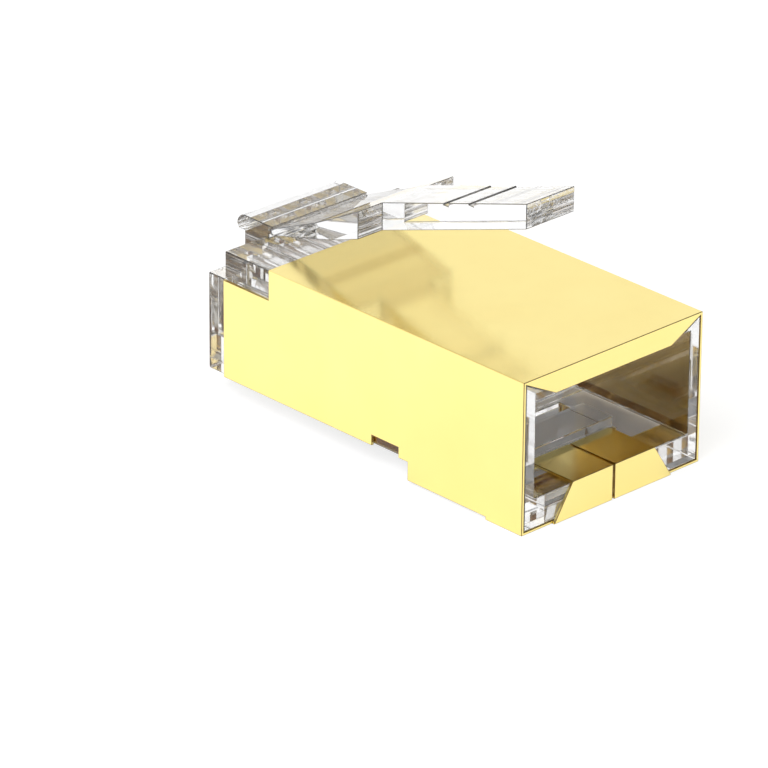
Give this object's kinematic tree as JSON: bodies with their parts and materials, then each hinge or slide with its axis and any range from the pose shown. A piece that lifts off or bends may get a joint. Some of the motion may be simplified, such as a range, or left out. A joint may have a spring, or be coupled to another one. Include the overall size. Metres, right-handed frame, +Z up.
{
  "type": "rj45 modular plug",
  "caption": "Shielded modular plug: clear housing in a folded gold-plated shield, sprung latch, contact blades, load bar and strain-relief bar.",
  "frame": {"origin": "centre of the plug's plan, at the underside of the shield's rear flange", "axes": "+X across the plug to the right as the cable entry is seen from behind, +Y from the cable entry to the nose, +Z up from the contacts to the latch"},
  "size_m": [0.0116, 0.0226, 0.014],
  "materials": {
    "clear_plastic": "clear polycarbonate, polished",
    "gold_plated_shield": "gold plate over folded brass, polished",
    "gold_plated_contact": "gold plate over stamped bronze, polished"
  },
  "bodies": {
    "plug_body": {"housing": "clear_plastic", "shield": "gold_plated_shield", "load_bar": "clear_plastic"},
    "latch": {"latch": "clear_plastic"},
    "strain_relief_bar": {"strain_relief_bar": "clear_plastic"},
    "contact_1": {"contact_1": "gold_plated_contact"},
    "contact_2": {"contact_2": "gold_plated_contact"},
    "contact_3": {"contact_3": "gold_plated_contact"},
    "contact_4": {"contact_4": "gold_plated_contact"},
    "contact_5": {"contact_5": "gold_plated_contact"},
    "contact_6": {"contact_6": "gold_plated_contact"},
    "contact_7": {"contact_7": "gold_plated_contact"},
    "contact_8": {"contact_8": "gold_plated_contact"}
  },
  "joints": [
    {"name": "latch_hinge", "type": "hinge", "parent": "plug_body", "child": "latch", "pos_m": [0, 0.00865, 0.00805], "axis": [1, 0, 0], "range_deg": [0, 13], "stiffness_Nm_per_rad": 0.1},
    {"name": "strain_relief_hinge", "type": "hinge", "parent": "plug_body", "child": "strain_relief_bar", "pos_m": [0, -0.00455, 0.0007], "axis": [-1, 0, 0], "range_deg": [0, 20]},
    {"name": "contact_1_crimp", "type": "slide", "parent": "plug_body", "child": "contact_1", "axis": [0, 0, 1], "range_m": [0, 0.0009]},
    {"name": "contact_2_crimp", "type": "slide", "parent": "plug_body", "child": "contact_2", "axis": [0, 0, 1], "range_m": [0, 0.0009]},
    {"name": "contact_3_crimp", "type": "slide", "parent": "plug_body", "child": "contact_3", "axis": [0, 0, 1], "range_m": [0, 0.0009]},
    {"name": "contact_4_crimp", "type": "slide", "parent": "plug_body", "child": "contact_4", "axis": [0, 0, 1], "range_m": [0, 0.0009]},
    {"name": "contact_5_crimp", "type": "slide", "parent": "plug_body", "child": "contact_5", "axis": [0, 0, 1], "range_m": [0, 0.0009]},
    {"name": "contact_6_crimp", "type": "slide", "parent": "plug_body", "child": "contact_6", "axis": [0, 0, 1], "range_m": [0, 0.0009]},
    {"name": "contact_7_crimp", "type": "slide", "parent": "plug_body", "child": "contact_7", "axis": [0, 0, 1], "range_m": [0, 0.0009]},
    {"name": "contact_8_crimp", "type": "slide", "parent": "plug_body", "child": "contact_8", "axis": [0, 0, 1], "range_m": [0, 0.0009]}
  ],
  "couplings": [
    {"joint": "contact_2_crimp", "follows": "contact_1_crimp", "ratio": 1},
    {"joint": "contact_3_crimp", "follows": "contact_1_crimp", "ratio": 1},
    {"joint": "contact_4_crimp", "follows": "contact_1_crimp", "ratio": 1},
    {"joint": "contact_5_crimp", "follows": "contact_1_crimp", "ratio": 1},
    {"joint": "contact_6_crimp", "follows": "contact_1_crimp", "ratio": 1},
    {"joint": "contact_7_crimp", "follows": "contact_1_crimp", "ratio": 1},
    {"joint": "contact_8_crimp", "follows": "contact_1_crimp", "ratio": 1}
  ]
}
